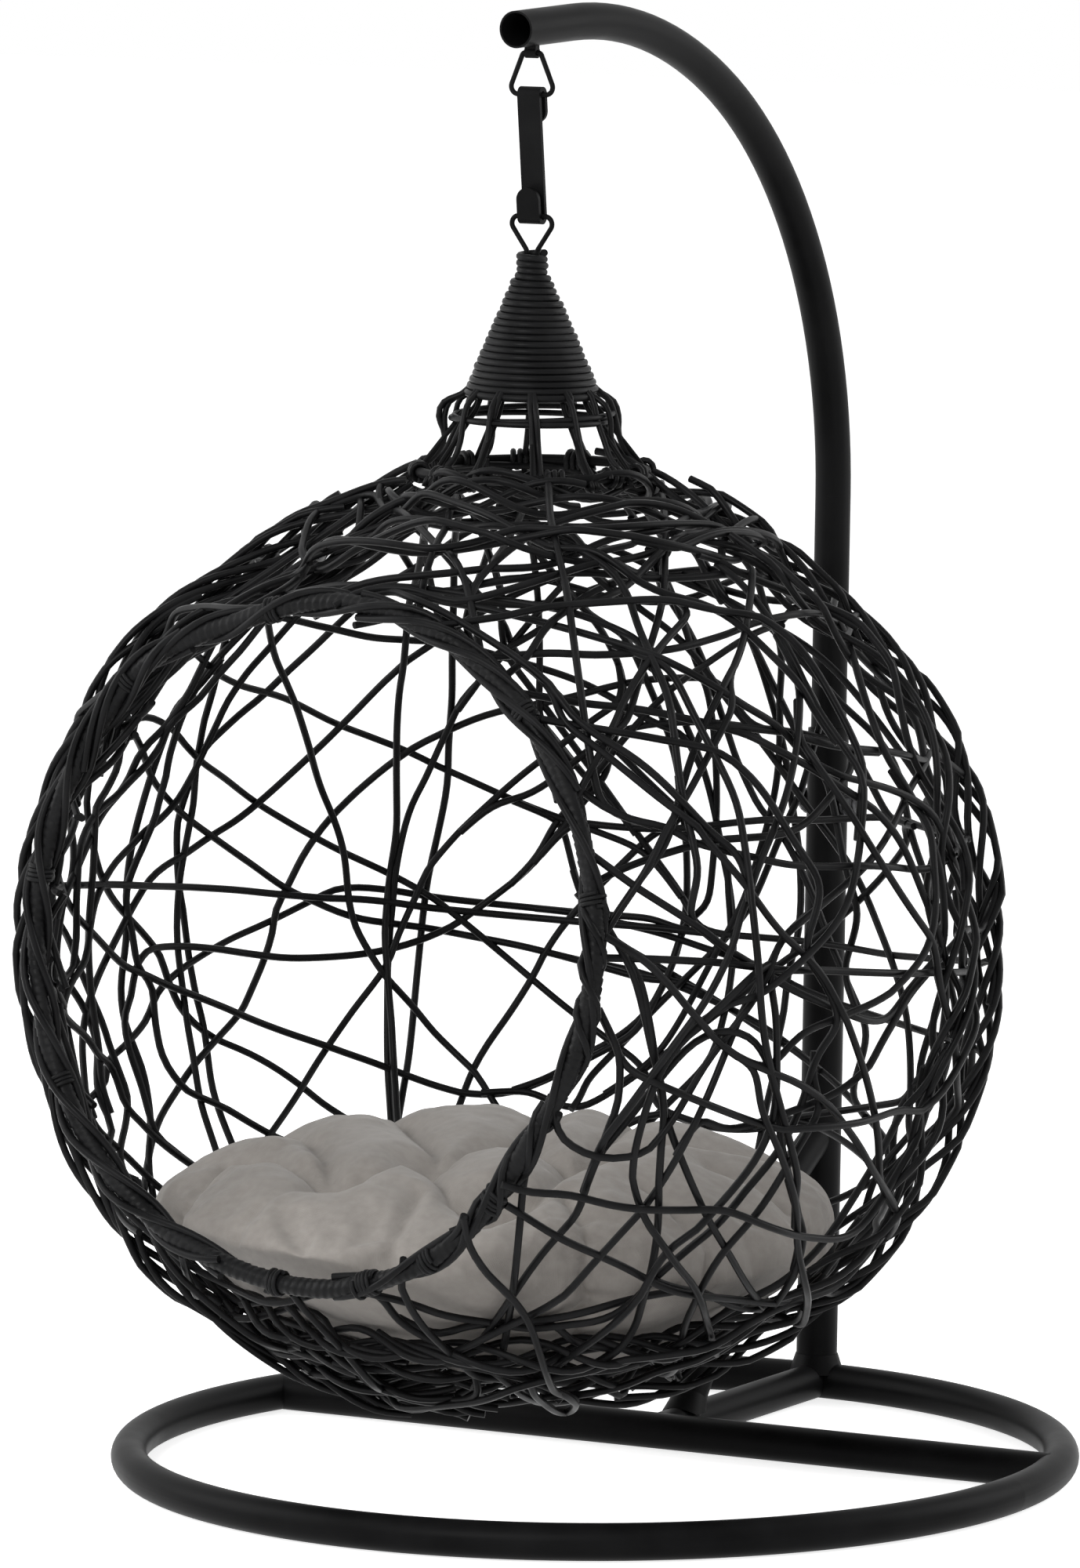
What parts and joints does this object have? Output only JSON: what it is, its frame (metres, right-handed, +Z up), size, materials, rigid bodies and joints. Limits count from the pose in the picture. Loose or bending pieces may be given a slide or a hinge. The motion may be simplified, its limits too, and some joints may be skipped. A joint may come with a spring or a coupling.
{
  "type": "hanging egg chair",
  "caption": "Pet-size hanging egg chair: a woven wicker ball with a round entrance and a cushion hangs by an S-hook from a curved tube arm on a ring base.",
  "frame": {"origin": "floor level, at the middle of the whole chair's footprint", "axes": "+Z up, -Y towards the entrance of the ball, +Y towards the post, +X to the right when facing +Y"},
  "size_m": [0.5848, 0.6434, 0.8823],
  "materials": {
    "powder_coat": "satin black powder coat",
    "zinc_plate": "darkened zinc-plated fastener",
    "round_wicker": "round polyethylene wicker, slight sheen",
    "flat_wicker": "flat polyethylene wicker, wound tight",
    "cushion_cloth": "woven polyester, warm grey, tufted",
    "cushion_filling": "polyester filling, not seen"
  },
  "bodies": {
    "stand": {"base_ring": "powder_coat", "crossbar": "powder_coat", "base_spine": "powder_coat", "brace_tube": "powder_coat", "lower_post": "powder_coat", "weld_beads": "powder_coat", "arm_tube": "powder_coat", "arm_bolt": "zinc_plate", "bolt_washers": "zinc_plate", "cap_nut": "zinc_plate", "hanger_eye": "powder_coat"},
    "link": {"upper_link": "powder_coat"},
    "hook": {"s_hook": "powder_coat"},
    "basket": {"lower_link": "powder_coat", "crown_boss": "powder_coat", "cone_wrap": "flat_wicker", "crown_rods": "powder_coat", "neck_loops": "round_wicker", "neck_ring": "round_wicker", "crown_hoop": "powder_coat", "rim_hoop": "powder_coat", "rim_wrap": "flat_wicker", "frame_ribs": "powder_coat", "belt_hoop": "powder_coat", "crown_rings": "round_wicker", "floor_rings": "round_wicker", "floor_hoop": "powder_coat", "weave_1": "round_wicker", "weave_2": "round_wicker", "weave_3": "round_wicker", "weave_4": "round_wicker", "weave_5": "round_wicker"},
    "cushion": {"cushion_cover": "cushion_cloth", "cushion_fill": "cushion_filling"}
  },
  "joints": [
    {"name": "link_swing", "type": "hinge", "parent": "stand", "child": "link", "pos_m": [0, -0.06362, 0.85573], "axis": [1, 0, 0], "range_deg": [-12, 4.5]},
    {"name": "hook_sway", "type": "hinge", "parent": "link", "child": "hook", "pos_m": [0, -0.06362, 0.83133], "axis": [0, 1, 0], "range_deg": [-5, 5]},
    {"name": "basket_swing", "type": "hinge", "parent": "hook", "child": "basket", "pos_m": [0, -0.06362, 0.75993], "axis": [1, 0, 0], "range_deg": [-10, 3.5]},
    {"name": "cushion_lift", "type": "slide", "parent": "basket", "child": "cushion", "axis": [0, 0, 1], "range_m": [0, 0.06]}
  ]
}
